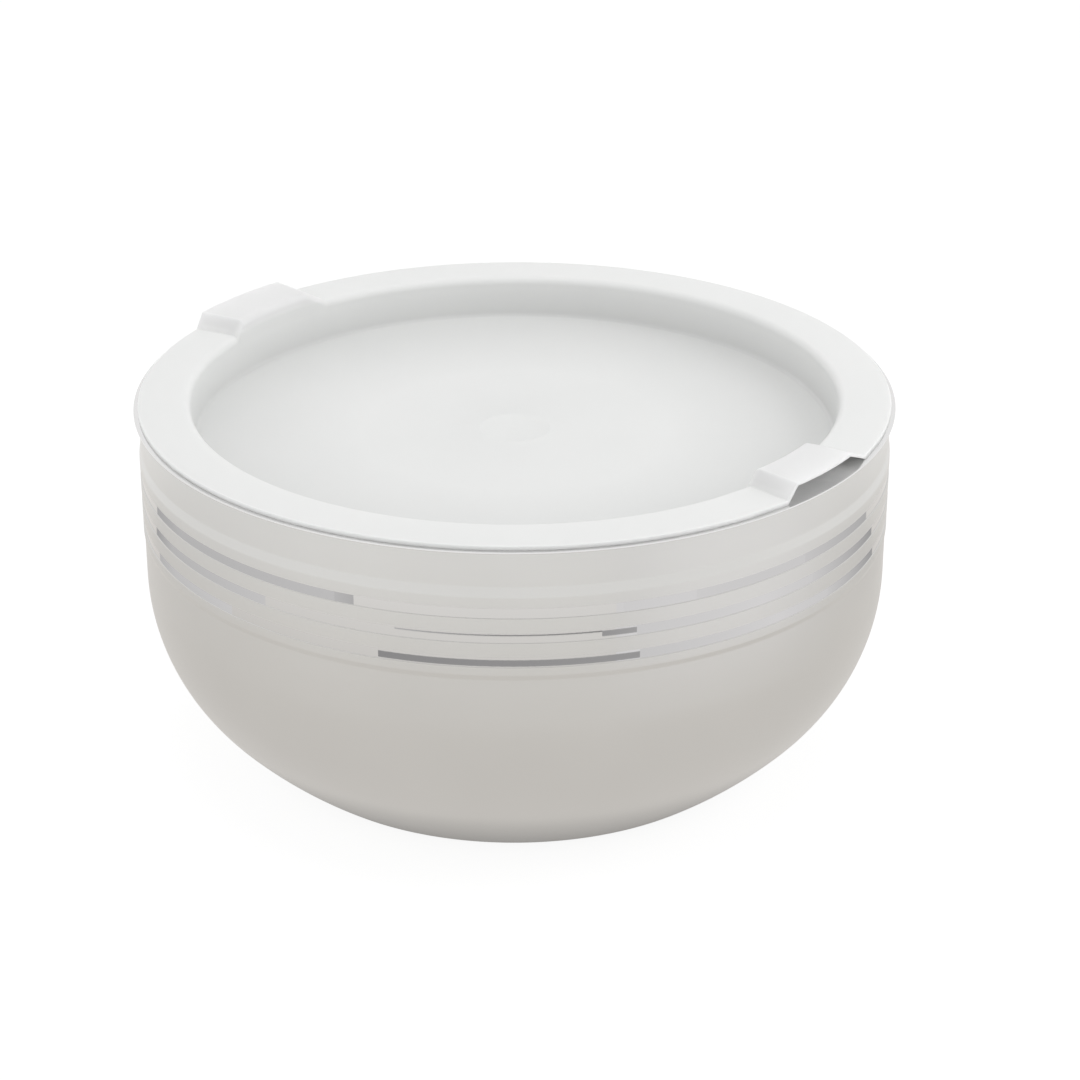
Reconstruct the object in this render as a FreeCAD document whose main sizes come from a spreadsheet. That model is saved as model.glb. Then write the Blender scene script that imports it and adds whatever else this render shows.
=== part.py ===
import FreeCAD, Part
import math
import os
import Sketcher

# Covered chilled serving bowl: a double-walled steel bowl with cooling gel between its walls and a
# white drop-in lid that lifts straight off by two raised finger arches.
# Millimetres and degrees. +Z up, the origin is the centre of the face that the foot ring stands on.
# The two finger arches lie on the X axis, each with its steep ramp towards -Y.

# The driving sizes: name, value, meaning.
TABLE = [
    ("body_radius", 126.0, "outside of the straight wall"),
    ("rim_height", 125.0, "table to the flat land of the rim"),
    ("rim_overhang", 1.5, "rim lip beyond the straight wall"),
    ("rim_round", 0.3, "rounding of the rim lip"),
    ("shell_sheet", 0.7, "steel of the outer shell"),
    ("neck_inset", 0.2, "neck under the rim, inside the straight wall"),
    ("belt_rise", 0.35, "raised belt beyond the straight wall"),
    ("belt_drop", 15.5, "rim land to the top edge of the belt"),
    ("belt_width", 26.5, "belt, top edge to bottom edge"),
    ("belt_step", 1.0, "height of the soft step above and below the belt"),
    ("groove_drop", 5.4, "top edge of the belt to the centre of the first groove"),
    ("groove_pitch", 8.3, "groove to groove"),
    ("groove_count", 3, "turned grooves round the belt"),
    ("groove_width", 3.3, "groove at the belt's surface"),
    ("groove_depth", 0.3, "depth of a groove"),
    ("groove_edge", 0.5, "sloping edge of a groove"),
    ("shoulder_arc", 69.0, "upper arc of the round bottom"),
    ("shoulder_turn", 43.0, "turn of the upper arc, degrees"),
    ("belly_arc", 152.0, "lower arc of the round bottom"),
    ("base_radius", 86.2, "where the lower arc meets the base"),
    ("base_corner", 3.0, "rounding between the lower arc and the base"),
    ("foot_proud", 0.5, "foot ring below the steel"),
    ("foot_inset", 7.0, "edge of the base to the foot channel"),
    ("foot_width", 12.0, "width of the foot channel"),
    ("foot_round", 0.5, "rounding of the foot ring's lower edges"),
    ("foot_clearance", 0.2, "foot ring to each side of its channel"),
    ("channel_depth", 1.2, "depth of the foot channel"),
    ("base_land", 6.0, "steel between the foot channel and the plate recess"),
    ("plate_recess", 2.5, "depth of the recess for the base plate"),
    ("plate_sheet", 0.7, "steel of the base plate"),
    ("plate_clearance", 0.4, "base plate to the side of its recess"),
    ("dimple_radius", 12.0, "dimple round the filling hole"),
    ("dimple_depth", 1.5, "depth of the dimple"),
    ("fill_radius", 5.0, "filling hole"),
    ("stopper_overlap", 4.0, "head of the plug beyond the filling hole"),
    ("stopper_head", 1.2, "thickness of the plug's head"),
    ("stopper_barb", 1.0, "barb of the plug beyond the filling hole"),
    ("stopper_point", 3.0, "height of the plug's barbed point above the sheet"),
    ("stopper_taper", 1.6, "narrowing of the plug's point"),
    ("liner_sheet", 0.7, "steel of the inner bowl"),
    ("mouth_inset", 15.0, "straight wall to the inner bowl's mouth"),
    ("mouth_round", 2.0, "rounding of the mouth at the rim land"),
    ("liner_taper", 1.0, "inner bowl's wall, narrowing from the mouth to its shoulder"),
    ("liner_shoulder_arc", 48.0, "upper arc of the inner bowl"),
    ("liner_turn", 40.0, "turn of the upper arc, degrees"),
    ("liner_belly_arc", 95.0, "lower arc of the inner bowl"),
    ("liner_base_radius", 78.5, "where the inner bowl's lower arc meets its floor"),
    ("liner_floor", 17.7, "table to the inner bowl's floor"),
    ("liner_corner", 20.0, "rounding between the lower arc and the floor"),
    ("gel_headroom", 17.0, "rim land to the top of the gel"),
    ("gel_clearance", 0.1, "gel to the steel round it"),
    ("lid_margin", 1.5, "rim land that shows outside the lid"),
    ("lid_clearance", 1.0, "lid's plug to the inner bowl's mouth"),
    ("lid_flange", 1.5, "thickness of the lid's flange"),
    ("lid_wall", 1.5, "thickness of the lid's plug wall"),
    ("lid_floor", 1.5, "thickness of the lid's floor"),
    ("lid_depth", 14.6, "flange top to the floor of the recess"),
    ("lid_draft", 0.5, "narrowing of the plug and its recess towards the floor"),
    ("lid_round", 2.5, "rounding at the top of the recess"),
    ("lid_crease", 1.5, "rounding at the floor of the recess"),
    ("lid_edge", 0.4, "rounding of the flange's outer edges"),
    ("tab_height", 4.9, "top of a finger arch above the flange"),
    ("tab_plate", 1.1, "thickness of a finger arch"),
    ("tab_bend", 0.8, "rounding where a ramp meets the top of the arch"),
    ("tab_root", 2.0, "flange that an arch carries beyond the foot of each ramp"),
    ("front_steep_side", 8.3, "front arch: its axis to the top of the steep ramp, degrees"),
    ("front_steep_run", 3.9, "front arch: length of the steep ramp"),
    ("front_gentle_side", 5.4, "front arch: its axis to the top of the gentle ramp, degrees"),
    ("front_gentle_run", 11.0, "front arch: length of the gentle ramp"),
    ("back_steep_side", 9.5, "back arch: its axis to the top of the steep ramp, degrees"),
    ("back_steep_run", 4.0, "back arch: length of the steep ramp"),
    ("back_gentle_side", 8.6, "back arch: its axis to the top of the gentle ramp, degrees"),
    ("back_gentle_run", 8.7, "back arch: length of the gentle ramp"),
]

FULL_TURN = 360.0
LEFT, RIGHT = 1, -1

# A sketch's own origin and axes, by their numbers in it.
ORIGIN_POINT = (-1, 1)
ACROSS_AXIS, UP_AXIS = -1, -2

doc = FreeCAD.newDocument("serving_bowl")
sheet = doc.addObject("Spreadsheet::Sheet", "sizes")


class Size:
    """A size of the table, or one worked out from such sizes: its value and its formula."""

    def __init__(self, value, formula):
        self.value = value
        self.formula = formula

    def __add__(self, other):
        return Size(self.value + other.value, f"({self.formula} + {other.formula})")

    def __sub__(self, other):
        return Size(self.value - other.value, f"({self.formula} - {other.formula})")

    def __mul__(self, other):
        return Size(self.value * other.value, f"({self.formula} * {other.formula})")

    def __truediv__(self, other):
        return Size(self.value / other.value, f"({self.formula} / {other.formula})")

    def __neg__(self):
        return Size(-self.value, f"(-{self.formula})")


def square(size):
    return Size(size.value ** 2, f"({size.formula})^2")


def root(size):
    return Size(math.sqrt(size.value), f"sqrt({size.formula})")


def sine(angle):
    return Size(math.sin(math.radians(angle.value)), f"sin({angle.formula})")


def cosine(angle):
    return Size(math.cos(math.radians(angle.value)), f"cos({angle.formula})")


def tangent(angle):
    return Size(math.tan(math.radians(angle.value)), f"tan({angle.formula})")


def arc_tangent(size):
    return Size(math.degrees(math.atan(size.value)), f"atan({size.formula})")


def fill_table():
    """Write the table into the sheet and return its sizes by name."""
    sizes = {}
    for row, (name, value, meaning) in enumerate(TABLE, start=1):
        sheet.set(f"A{row}", meaning)
        sheet.set(f"B{row}", str(value))
        sheet.setAlias(f"B{row}", name)
        sizes[name] = Size(float(value), f"sizes.{name}")
    doc.recompute()
    return sizes


S = fill_table()
ZERO = Size(0.0, "0")
TWO = Size(2.0, "2")

# Sizes that several pieces share.
SHELL_TOP = S["rim_height"] - S["liner_sheet"]
BELT_TOP = S["rim_height"] - S["belt_drop"]
BELT_BOTTOM = BELT_TOP - S["belt_width"]
RIM_RADIUS = S["body_radius"] + S["rim_overhang"]
MOUTH_RADIUS = S["body_radius"] - S["mouth_inset"]
CHANNEL_OUTSIDE = S["base_radius"] - S["foot_inset"]
CHANNEL_INSIDE = CHANNEL_OUTSIDE - S["foot_width"]
RECESS_RADIUS = CHANNEL_INSIDE - S["base_land"]
RECESS_HEIGHT = S["foot_proud"] + S["plate_recess"]
DIMPLE_HEIGHT = RECESS_HEIGHT + S["dimple_depth"]
LID_RADIUS = RIM_RADIUS - S["lid_margin"]
LID_PLUG_RADIUS = MOUTH_RADIUS - S["lid_clearance"]
LID_RECESS_RADIUS = LID_PLUG_RADIUS - S["lid_wall"]
LID_FLANGE_WIDTH = LID_RADIUS - LID_RECESS_RADIUS
LID_CORNER_HEIGHT = S["lid_flange"] - S["lid_round"]
TAB_TOP = S["lid_flange"] + S["tab_height"]
TAB_CEILING = TAB_TOP - S["tab_plate"]


class Corner:
    """A corner of an outline.

    rounding rounds it off between two straight sides. arc and bend make the side to the next corner
    an arc of that radius that bends LEFT or RIGHT.
    """

    def __init__(self, across, up, rounding=None, arc=None, bend=RIGHT):
        self.across = across
        self.up = up
        self.rounding = rounding
        self.arc = arc
        self.bend = bend
        self.point = FreeCAD.Vector(across.value, up.value, 0)


def new_body(name, height=None):
    """A body with its own frame, raised to a height of the table where one is given."""
    body = doc.addObject("PartDesign::Body", name)
    body.Label = name
    if height is not None:
        body.setExpression("Placement.Base.z", height.formula)
    return body


def origin_feature(body, role):
    return next(item for item in body.Origin.OriginFeatures if item.Role == role)


def new_sketch(body, name, plane, distance=None):
    """An empty sketch on one of the body's own planes, or at a distance from it."""
    sketch = body.newObject("Sketcher::SketchObject", name)
    sketch.AttachmentSupport = (origin_feature(body, plane), [""])
    sketch.MapMode = "FlatFace"
    if distance is not None:
        sketch.AttachmentOffset = FreeCAD.Placement(
            FreeCAD.Vector(0, 0, distance.value), FreeCAD.Rotation()
        )
        sketch.setExpression("AttachmentOffset.Base.z", distance.formula)
    return sketch


def bind(sketch, constraint, size):
    """Add a constraint that takes its value from the table."""
    index = sketch.addConstraint(constraint)
    sketch.setExpression(f"Constraints[{index}]", size.formula)


def place_point(sketch, end, corner):
    """Hold one end of a curve where the corner is."""
    geometry, position = end
    if corner.across is ZERO:
        sketch.addConstraint(Sketcher.Constraint("PointOnObject", geometry, position, UP_AXIS))
    else:
        value = corner.across.value
        constraint = Sketcher.Constraint("DistanceX", *ORIGIN_POINT, geometry, position, value)
        bind(sketch, constraint, corner.across)
    if corner.up is ZERO:
        sketch.addConstraint(Sketcher.Constraint("PointOnObject", geometry, position, ACROSS_AXIS))
    else:
        value = corner.up.value
        constraint = Sketcher.Constraint("DistanceY", *ORIGIN_POINT, geometry, position, value)
        bind(sketch, constraint, corner.up)


def rounding_points(before, corner, after):
    """Where the rounding of a corner starts and ends on its two sides."""
    back = (before.point - corner.point).normalize()
    ahead = (after.point - corner.point).normalize()
    half_angle = back.getAngle(ahead) / 2
    reach = corner.rounding.value / math.tan(half_angle)
    return corner.point + back * reach, corner.point + ahead * reach


def add_arc(sketch, start, end, radius, bend):
    """Add an arc of under half a turn and return its start and end, each as curve and position."""
    chord = end - start
    middle = (start + end) / 2
    left = FreeCAD.Vector(-chord.y, chord.x, 0).normalize()
    sagitta_side = math.sqrt(radius.value ** 2 - (chord.Length / 2) ** 2)
    centre = middle + left * (bend * sagitta_side)
    first, last = (start, end) if bend == LEFT else (end, start)
    first_angle = math.atan2(first.y - centre.y, first.x - centre.x)
    last_angle = math.atan2(last.y - centre.y, last.x - centre.x)
    circle = Part.Circle(centre, FreeCAD.Vector(0, 0, 1), radius.value)
    geometry = sketch.addGeometry(Part.ArcOfCircle(circle, first_angle, last_angle))
    bind(sketch, Sketcher.Constraint("Radius", geometry, radius.value), radius)
    return ((geometry, 1), (geometry, 2)) if bend == LEFT else ((geometry, 2), (geometry, 1))


def add_rounding(sketch, corner, points, side_in, side_out):
    """Round off a corner between two straight sides."""
    turn = (points[0] - corner.point).cross(points[1] - corner.point).z
    bend = RIGHT if turn > 0 else LEFT
    start, end = add_arc(sketch, points[0], points[1], corner.rounding, bend)
    sketch.addConstraint(Sketcher.Constraint("Tangent", *side_in, *start))
    sketch.addConstraint(Sketcher.Constraint("Tangent", *end, *side_out))
    tip = sketch.addGeometry(Part.Point(corner.point), True)
    sketch.addConstraint(Sketcher.Constraint("PointOnObject", tip, 1, side_in[0]))
    sketch.addConstraint(Sketcher.Constraint("PointOnObject", tip, 1, side_out[0]))
    place_point(sketch, (tip, 1), corner)


def draw_outline(sketch, corners):
    """Draw a closed outline through the corners, with every size bound to the table."""
    count = len(corners)
    trimmed = []
    for index, corner in enumerate(corners):
        if corner.rounding is None:
            trimmed.append((corner.point, corner.point))
        else:
            before = corners[index - 1]
            after = corners[(index + 1) % count]
            trimmed.append(rounding_points(before, corner, after))
    sides = []
    for index, corner in enumerate(corners):
        start = trimmed[index][1]
        end = trimmed[(index + 1) % count][0]
        if corner.arc is None:
            geometry = sketch.addGeometry(Part.LineSegment(start, end))
            sides.append(((geometry, 1), (geometry, 2)))
        else:
            sides.append(add_arc(sketch, start, end, corner.arc, corner.bend))
    for index, corner in enumerate(corners):
        side_in = sides[index - 1][1]
        side_out = sides[index][0]
        if corner.rounding is None:
            sketch.addConstraint(Sketcher.Constraint("Coincident", *side_in, *side_out))
            place_point(sketch, side_out, corner)
        else:
            add_rounding(sketch, corner, trimmed[index], side_in, side_out)
    return sketch


def revolve(body, name, corners, cut=False, sides=None):
    """Turn an outline in the XZ plane about Z, all the way or by an angle to each side."""
    sketch = draw_outline(new_sketch(body, f"{name}_outline", "XZ_Plane"), corners)
    feature = body.newObject("PartDesign::Groove" if cut else "PartDesign::Revolution", name)
    feature.Profile = sketch
    feature.ReferenceAxis = (sketch, ["V_Axis"])
    if sides is None:
        feature.Angle = FULL_TURN
    else:
        feature.Type = "TwoAngles"
        feature.setExpression("Angle", sides[0].formula)
        feature.setExpression("Angle2", sides[1].formula)
    return feature


def cut_loft(body, name, outlines):
    """Cut away what lies between outlines, each given with its distance along X."""
    sketches = []
    for word, (distance, corners) in zip(("near", "far"), outlines):
        sketch = new_sketch(body, f"{name}_{word}", "YZ_Plane", distance)
        sketches.append(draw_outline(sketch, corners))
    feature = body.newObject("PartDesign::SubtractiveLoft", name)
    feature.Profile = sketches[0]
    feature.Sections = sketches[1:]
    feature.Ruled = True
    return feature


def round_bottom(wall, arcs, turn, base_radius, base_height, corner, inset):
    """Corners of a round bottom, from its straight wall to its flat base, moved inwards by inset.

    The upper arc leaves the wall straight down and turns by the angle turn. The lower arc carries on
    from it to the base, where a corner rounds it into the flat.
    """
    upper, lower = arcs
    upper_across = wall - upper
    lower_across = upper_across + (upper - lower) * cosine(turn)
    lower_up = base_height + root(square(lower) - square(base_radius - lower_across))
    upper_up = lower_up - (lower - upper) * sine(turn)
    corner_up = base_height + corner
    corner_across = lower_across + root(square(lower - corner) - square(lower_up - corner_up))
    ratio = (lower - inset) / (lower - corner)
    return [
        Corner(wall - inset, upper_up, arc=upper - inset),
        Corner(
            upper_across + (upper - inset) * cosine(turn),
            upper_up - (upper - inset) * sine(turn),
            arc=lower - inset,
        ),
        Corner(
            lower_across + (corner_across - lower_across) * ratio,
            lower_up + (corner_up - lower_up) * ratio,
            arc=corner - inset,
        ),
        Corner(corner_across, base_height + inset),
    ]


def shell_bottom(inset):
    """Corners of the outer shell's round bottom and stepped base, to the axis."""
    base = S["foot_proud"] + inset
    channel = base + S["channel_depth"]
    recess = RECESS_HEIGHT + inset
    dimple = DIMPLE_HEIGHT + inset
    return round_bottom(
        S["body_radius"],
        (S["shoulder_arc"], S["belly_arc"]),
        S["shoulder_turn"],
        S["base_radius"],
        S["foot_proud"],
        S["base_corner"],
        inset,
    ) + [
        Corner(CHANNEL_OUTSIDE + inset, base),
        Corner(CHANNEL_OUTSIDE + inset, channel),
        Corner(CHANNEL_INSIDE - inset, channel),
        Corner(CHANNEL_INSIDE - inset, base),
        Corner(RECESS_RADIUS + inset, base),
        Corner(RECESS_RADIUS + inset, recess),
        Corner(S["dimple_radius"] + inset, recess),
        Corner(S["dimple_radius"] + inset, dimple),
        Corner(ZERO, dimple),
    ]


def belt_corners(inset):
    """Corners of the lower edge of the belt."""
    return [
        Corner(S["body_radius"] + S["belt_rise"] - inset, BELT_BOTTOM),
        Corner(S["body_radius"] - inset, BELT_BOTTOM - S["belt_step"]),
    ]


def shell_outline(inset):
    """The outer shell from its top edge to the axis and back up, moved inwards by inset."""
    neck = S["body_radius"] - S["neck_inset"] - inset
    return [
        Corner(ZERO, SHELL_TOP),
        Corner(neck, SHELL_TOP),
        Corner(neck, BELT_TOP + S["belt_step"]),
        Corner(S["body_radius"] + S["belt_rise"] - inset, BELT_TOP),
    ] + belt_corners(inset) + shell_bottom(inset)


def liner_bottom(outset):
    """Corners of the inner bowl's round bottom, moved outwards by outset."""
    return round_bottom(
        MOUTH_RADIUS - S["liner_taper"],
        (S["liner_shoulder_arc"], S["liner_belly_arc"]),
        S["liner_turn"],
        S["liner_base_radius"],
        S["liner_floor"],
        S["liner_corner"],
        -outset,
    ) + [Corner(ZERO, S["liner_floor"] - outset)]


def make_outer_shell():
    """The pressed steel shell with its turned belt and the stepped base."""
    body = new_body("outer_shell")
    revolve(body, "outside", shell_outline(ZERO))
    revolve(body, "inside", shell_outline(S["shell_sheet"]), cut=True)

    belt = S["body_radius"] + S["belt_rise"]
    centre = BELT_TOP - S["groove_drop"]
    mouth = S["groove_width"] / TWO
    floor = mouth - S["groove_edge"]
    clear = belt + S["belt_rise"]
    groove = revolve(
        body,
        "groove",
        [
            Corner(belt - S["groove_depth"], centre - floor),
            Corner(belt, centre - mouth),
            Corner(clear, centre - mouth),
            Corner(clear, centre + mouth),
            Corner(belt, centre + mouth),
            Corner(belt - S["groove_depth"], centre + floor),
        ],
        cut=True,
    )
    grooves = body.newObject("PartDesign::LinearPattern", "grooves")
    grooves.Originals = [groove]
    grooves.Direction = (origin_feature(body, "Z_Axis"), [""])
    grooves.Reversed = True
    grooves.Mode = "Spacing"
    grooves.setExpression("Offset", S["groove_pitch"].formula)
    grooves.setExpression("Occurrences", S["groove_count"].formula)
    body.Tip = grooves

    above = DIMPLE_HEIGHT + S["shell_sheet"] + S["dimple_depth"]
    revolve(
        body,
        "filling_hole",
        [
            Corner(ZERO, S["foot_proud"]),
            Corner(S["fill_radius"], S["foot_proud"]),
            Corner(S["fill_radius"], above),
            Corner(ZERO, above),
        ],
        cut=True,
    )
    return body


def make_inner_bowl():
    """The steel food bowl, whose flange is the rim of the whole bowl."""
    body = new_body("inner_bowl")
    sheet_size = S["liner_sheet"]
    revolve(
        body,
        "outside",
        [
            Corner(ZERO, S["rim_height"]),
            Corner(RIM_RADIUS, S["rim_height"], rounding=S["rim_round"]),
            Corner(RIM_RADIUS, SHELL_TOP, rounding=S["rim_round"]),
            Corner(MOUTH_RADIUS + sheet_size, SHELL_TOP, rounding=S["mouth_round"] - sheet_size),
        ] + liner_bottom(sheet_size),
    )
    mouth_top = MOUTH_RADIUS + S["mouth_round"]
    revolve(
        body,
        "inside",
        [
            Corner(ZERO, S["rim_height"]),
            Corner(mouth_top, S["rim_height"], arc=S["mouth_round"], bend=LEFT),
            Corner(MOUTH_RADIUS, S["rim_height"] - S["mouth_round"]),
        ] + liner_bottom(ZERO),
        cut=True,
    )
    return body


def make_cooling_gel():
    """The gel that fills the space between the walls, with headroom to expand."""
    body = new_body("cooling_gel")
    level = S["rim_height"] - S["gel_headroom"]
    inset = S["shell_sheet"] + S["gel_clearance"]
    revolve(
        body,
        "outside",
        [
            Corner(ZERO, level),
            Corner(S["body_radius"] + S["belt_rise"] - inset, level),
        ] + belt_corners(inset) + shell_bottom(inset),
    )
    outset = S["liner_sheet"] + S["gel_clearance"]
    revolve(
        body,
        "bowl_seat",
        [
            Corner(ZERO, S["rim_height"]),
            Corner(MOUTH_RADIUS + outset, S["rim_height"]),
        ] + liner_bottom(outset),
        cut=True,
    )
    plug_radius = S["fill_radius"] + S["stopper_barb"] + S["gel_clearance"]
    plug_top = DIMPLE_HEIGHT + S["shell_sheet"] + S["stopper_point"] + S["gel_clearance"]
    revolve(
        body,
        "plug_seat",
        [
            Corner(ZERO, DIMPLE_HEIGHT),
            Corner(plug_radius, DIMPLE_HEIGHT),
            Corner(plug_radius, plug_top),
            Corner(ZERO, plug_top),
        ],
        cut=True,
    )
    return body


def make_fill_plug():
    """The rubber plug of the filling hole: flat head, waist in the sheet and a barbed point."""
    body = new_body("fill_plug", DIMPLE_HEIGHT)
    head_radius = S["fill_radius"] + S["stopper_overlap"]
    barb_radius = S["fill_radius"] + S["stopper_barb"]
    point_radius = barb_radius - S["stopper_taper"]
    top = S["shell_sheet"] + S["stopper_point"]
    revolve(
        body,
        "plug",
        [
            Corner(ZERO, -S["stopper_head"]),
            Corner(head_radius, -S["stopper_head"]),
            Corner(head_radius, ZERO),
            Corner(S["fill_radius"], ZERO),
            Corner(S["fill_radius"], S["shell_sheet"]),
            Corner(barb_radius, S["shell_sheet"]),
            Corner(point_radius, top),
            Corner(ZERO, top),
        ],
    )
    return body


def make_base_plate():
    """The steel disc in the base that covers the plug."""
    body = new_body("base_plate", RECESS_HEIGHT - S["plate_sheet"])
    radius = RECESS_RADIUS - S["plate_clearance"]
    revolve(
        body,
        "plate",
        [
            Corner(ZERO, ZERO),
            Corner(radius, ZERO, rounding=S["plate_sheet"] / TWO),
            Corner(radius, S["plate_sheet"]),
            Corner(ZERO, S["plate_sheet"]),
        ],
    )
    return body


def make_foot_ring():
    """The rubber ring in the base's channel that the bowl stands on."""
    body = new_body("foot_ring")
    outside = CHANNEL_OUTSIDE - S["foot_clearance"]
    inside = CHANNEL_INSIDE + S["foot_clearance"]
    top = S["foot_proud"] + S["channel_depth"]
    revolve(
        body,
        "ring",
        [
            Corner(inside, ZERO, rounding=S["foot_round"]),
            Corner(outside, ZERO, rounding=S["foot_round"]),
            Corner(outside, top),
            Corner(inside, top),
        ],
    )
    return body


class Arch:
    """A finger arch of the lid, along X or backwards along -X: its ramps and what they cut.

    Each pair of sizes gives the side towards -Y first and the one towards +Y second.
    """

    def __init__(self, slopes, backwards=False):
        self.tops = [tangent(side) for side, run in slopes]
        self.runs = [run for side, run in slopes]
        self.backwards = backwards

    def top_edges(self, distance):
        """Y of the edges between the top and the ramps, at a distance from the lid's axis."""
        return [distance * top for top in self.tops]

    def feet(self, distance):
        """Y of the feet of the ramps."""
        return [edge + run for edge, run in zip(self.top_edges(distance), self.runs)]

    def roots(self, distance):
        """Y of the two ends of the arch, on the flange beyond its ramps."""
        return [foot + S["tab_root"] for foot in self.feet(distance)]

    def seat(self, distance):
        """The opening in the flange that the arch fills."""
        right, left = self.roots(distance)
        return [
            Corner(-right, LID_CORNER_HEIGHT),
            Corner(left, LID_CORNER_HEIGHT),
            Corner(left, TAB_TOP),
            Corner(-right, TAB_TOP),
        ]

    def gap(self, distance):
        """The finger gap: the outline of the arch less its thickness, down to the rim land."""
        heads = []
        bottoms = []
        for edge, run in zip(self.top_edges(distance), self.runs):
            slope = run / S["tab_height"]
            slant = root(square(run) + square(S["tab_height"])) / S["tab_height"]
            inner_edge = edge - S["tab_plate"] * slant
            heads.append(inner_edge + slope * S["tab_plate"])
            bottoms.append(inner_edge + slope * TAB_TOP)
        return [
            Corner(-bottoms[0], ZERO),
            Corner(bottoms[1], ZERO),
            Corner(heads[1], TAB_CEILING),
            Corner(-heads[0], TAB_CEILING),
        ]

    def sky(self, distance):
        """What lies above the arch and its ramps, and beyond its two ends."""
        edges = self.top_edges(distance)
        feet = self.feet(distance)
        roots = self.roots(distance)
        ends = [end + LID_FLANGE_WIDTH for end in roots]
        flange = S["lid_flange"]
        low = LID_CORNER_HEIGHT - S["tab_height"]
        high = TAB_TOP + S["tab_height"]
        return [
            Corner(-ends[0], low),
            Corner(-roots[0], low),
            Corner(-roots[0], flange),
            Corner(-feet[0], flange),
            Corner(-edges[0], TAB_TOP, rounding=S["tab_bend"]),
            Corner(edges[1], TAB_TOP, rounding=S["tab_bend"]),
            Corner(feet[1], flange),
            Corner(roots[1], flange),
            Corner(roots[1], low),
            Corner(ends[1], low),
            Corner(ends[1], high),
            Corner(-ends[0], high),
        ]

    def cut(self, body, name, outline):
        """Cut one of these outlines through the flange, from inside the recess to beyond the edge."""
        near = LID_RECESS_RADIUS - LID_FLANGE_WIDTH
        far = LID_RADIUS + LID_FLANGE_WIDTH
        places = (-near, -far) if self.backwards else (near, far)
        cut_loft(body, name, list(zip(places, (outline(near), outline(far)))))

    def sector(self, body, name, corners):
        """Turn an outline about the lid's axis, to beyond both ends of the arch."""
        overshoot = S["tab_root"] * TWO
        right, left = [
            arc_tangent(top + (run + overshoot) / LID_RECESS_RADIUS)
            for top, run in zip(self.tops, self.runs)
        ]
        if self.backwards:
            turned = [Corner(-c.across, c.up, rounding=c.rounding) for c in corners]
            revolve(body, name, turned, sides=(right, left))
        else:
            revolve(body, name, corners, sides=(left, right))


FRONT_ARCH = Arch([
    (S["front_steep_side"], S["front_steep_run"]),
    (S["front_gentle_side"], S["front_gentle_run"]),
])
BACK_ARCH = Arch(
    [
        (S["back_steep_side"], S["back_steep_run"]),
        (S["back_gentle_side"], S["back_gentle_run"]),
    ],
    backwards=True,
)


def make_lid():
    """The lid: flange and plug with its recess, open where the two finger arches stand."""
    body = new_body("lid", S["rim_height"])
    recess_floor = S["lid_flange"] - S["lid_depth"]
    underside = recess_floor - S["lid_floor"]
    revolve(
        body,
        "dish",
        [
            Corner(LID_PLUG_RADIUS, ZERO),
            Corner(LID_RADIUS, ZERO, rounding=S["lid_edge"]),
            Corner(LID_RADIUS, S["lid_flange"], rounding=S["lid_edge"]),
            Corner(LID_RECESS_RADIUS, S["lid_flange"], rounding=S["lid_round"]),
            Corner(LID_RECESS_RADIUS, -S["lid_wall"]),
            Corner(
                LID_RECESS_RADIUS - S["lid_draft"], recess_floor, rounding=S["lid_crease"]
            ),
            Corner(ZERO, recess_floor),
            Corner(ZERO, underside),
            Corner(
                LID_PLUG_RADIUS - S["lid_draft"],
                underside,
                rounding=S["lid_crease"] + S["lid_floor"],
            ),
        ],
    )
    FRONT_ARCH.cut(body, "front_seat", FRONT_ARCH.seat)
    BACK_ARCH.cut(body, "back_seat", BACK_ARCH.seat)
    return body


def make_finger_arch(name, arch):
    """A hollow finger arch: two ramps, the top between them and the plug's wall behind the gap."""
    body = new_body(name, S["rim_height"])

    # A block over the whole arch, whose faces follow the recess and the flange's edge.
    arch.sector(
        body,
        "block",
        [
            Corner(LID_RECESS_RADIUS, LID_CORNER_HEIGHT),
            Corner(LID_PLUG_RADIUS, LID_CORNER_HEIGHT),
            Corner(LID_PLUG_RADIUS, ZERO),
            Corner(LID_RADIUS, ZERO, rounding=S["lid_edge"]),
            Corner(LID_RADIUS, TAB_TOP, rounding=S["lid_edge"]),
            Corner(LID_RECESS_RADIUS, TAB_TOP, rounding=S["lid_round"]),
        ],
    )
    arch.cut(body, "gap", arch.gap)

    # The plug's wall, carried up behind the gap to the top of the arch.
    arch.sector(
        body,
        "wall",
        [
            Corner(LID_RECESS_RADIUS, LID_CORNER_HEIGHT),
            Corner(LID_PLUG_RADIUS, LID_CORNER_HEIGHT),
            Corner(LID_PLUG_RADIUS, TAB_CEILING),
            Corner(LID_PLUG_RADIUS + S["lid_round"], TAB_TOP),
            Corner(LID_RECESS_RADIUS, TAB_TOP, rounding=S["lid_round"]),
        ],
    )
    arch.cut(body, "ramps", arch.sky)
    return body


def check_document():
    """Stop if anything failed, or if a cut took nothing away."""
    for item in doc.Objects:
        if {"Invalid", "Error"} & set(item.State):
            raise RuntimeError(f"{item.Label} is {item.State}")
        if item.isDerivedFrom("PartDesign::Groove") or item.isDerivedFrom("PartDesign::SubtractiveLoft"):
            if item.Shape.Volume >= item.BaseFeature.Shape.Volume:
                raise RuntimeError(f"{item.Label} cuts nothing")


def write_piece(body):
    """Write one piece, once its shape is sound and a single solid."""
    shape = body.Shape
    if shape.isNull() or not shape.isValid() or len(shape.Solids) != 1:
        raise RuntimeError(f"{body.Label} has no sound shape")
    shape.exportStep(os.path.join("parts", f"{body.Label}.step"))


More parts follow.
